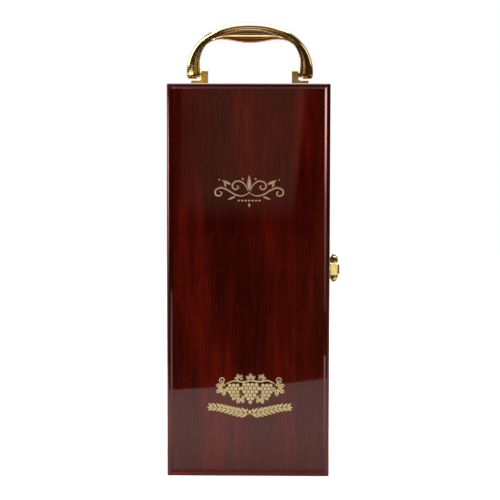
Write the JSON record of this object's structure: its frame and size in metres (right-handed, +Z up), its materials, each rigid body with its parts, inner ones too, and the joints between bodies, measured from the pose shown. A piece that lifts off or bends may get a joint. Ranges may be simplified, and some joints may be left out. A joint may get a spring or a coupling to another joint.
{
  "type": "wooden wine box",
  "caption": "Upright lacquered wooden box for a bottle, with a framed side-hinged lid, a small latch, a lined bed and a folding arched carrying handle.",
  "frame": {"origin": "the middle of the foot, where the standing box rests, halfway between its front and back", "axes": "+Z up, the framed lid faces -Y, the lid's hinges are at -X and its latch at +X"},
  "size_m": [0.1577, 0.118, 0.4119],
  "materials": {
    "lacquered_wood": "dark red-brown wood grain under clear high-gloss lacquer",
    "lacquered_panel": "dark red-brown wood grain under clear high-gloss lacquer, recessed panel",
    "gilt_metal": "polished gold plate",
    "steel_screw": "zinc-plated screw",
    "satin_lining": "champagne satin cloth",
    "velvet_flock": "champagne flock over moulded foam"
  },
  "bodies": {
    "base": {"base_left_wall": "lacquered_wood", "base_right_wall": "lacquered_wood", "base_top_wall": "lacquered_wood", "base_bottom_wall": "lacquered_wood", "back_panel": "lacquered_panel", "bottle_bed": "velvet_flock", "base_liner": "satin_lining", "handle_bracket_left": "gilt_metal", "handle_bracket_right": "gilt_metal", "handle_pins": "gilt_metal", "handle_bracket_screws": "steel_screw", "hinge_base_leaf_upper": "gilt_metal", "hinge_base_leaf_lower": "gilt_metal", "hinge_pins": "gilt_metal", "hinge_base_screws": "gilt_metal", "latch_mount": "gilt_metal", "latch_pin": "gilt_metal", "latch_mount_screws": "gilt_metal"},
    "lid": {"lid_left_wall": "lacquered_wood", "lid_right_wall": "lacquered_wood", "lid_top_wall": "lacquered_wood", "lid_bottom_wall": "lacquered_wood", "lid_panel": "lacquered_panel", "lid_pad": "satin_lining", "lid_liner": "satin_lining", "hinge_lid_leaf_upper": "gilt_metal", "hinge_lid_leaf_lower": "gilt_metal", "hinge_lid_screws": "gilt_metal", "latch_keeper": "gilt_metal", "latch_keeper_screws": "gilt_metal"},
    "handle": {"handle_arch": "gilt_metal"},
    "latch": {"latch_flap": "gilt_metal"}
  },
  "joints": [
    {"name": "lid_hinge", "type": "hinge", "parent": "base", "child": "lid", "pos_m": [-0.07325, -0.0207, 0.1775], "axis": [0, 0, -1], "range_deg": [0, 165]},
    {"name": "handle_fold", "type": "hinge", "parent": "base", "child": "handle", "pos_m": [0, 0.012, 0.3642], "axis": [1, 0, 0], "range_deg": [-90, 90]},
    {"name": "latch_turn", "type": "hinge", "parent": "base", "child": "latch", "pos_m": [0.0782, -0.015, 0.186], "axis": [0, 0, 1], "range_deg": [-3, 150]}
  ]
}
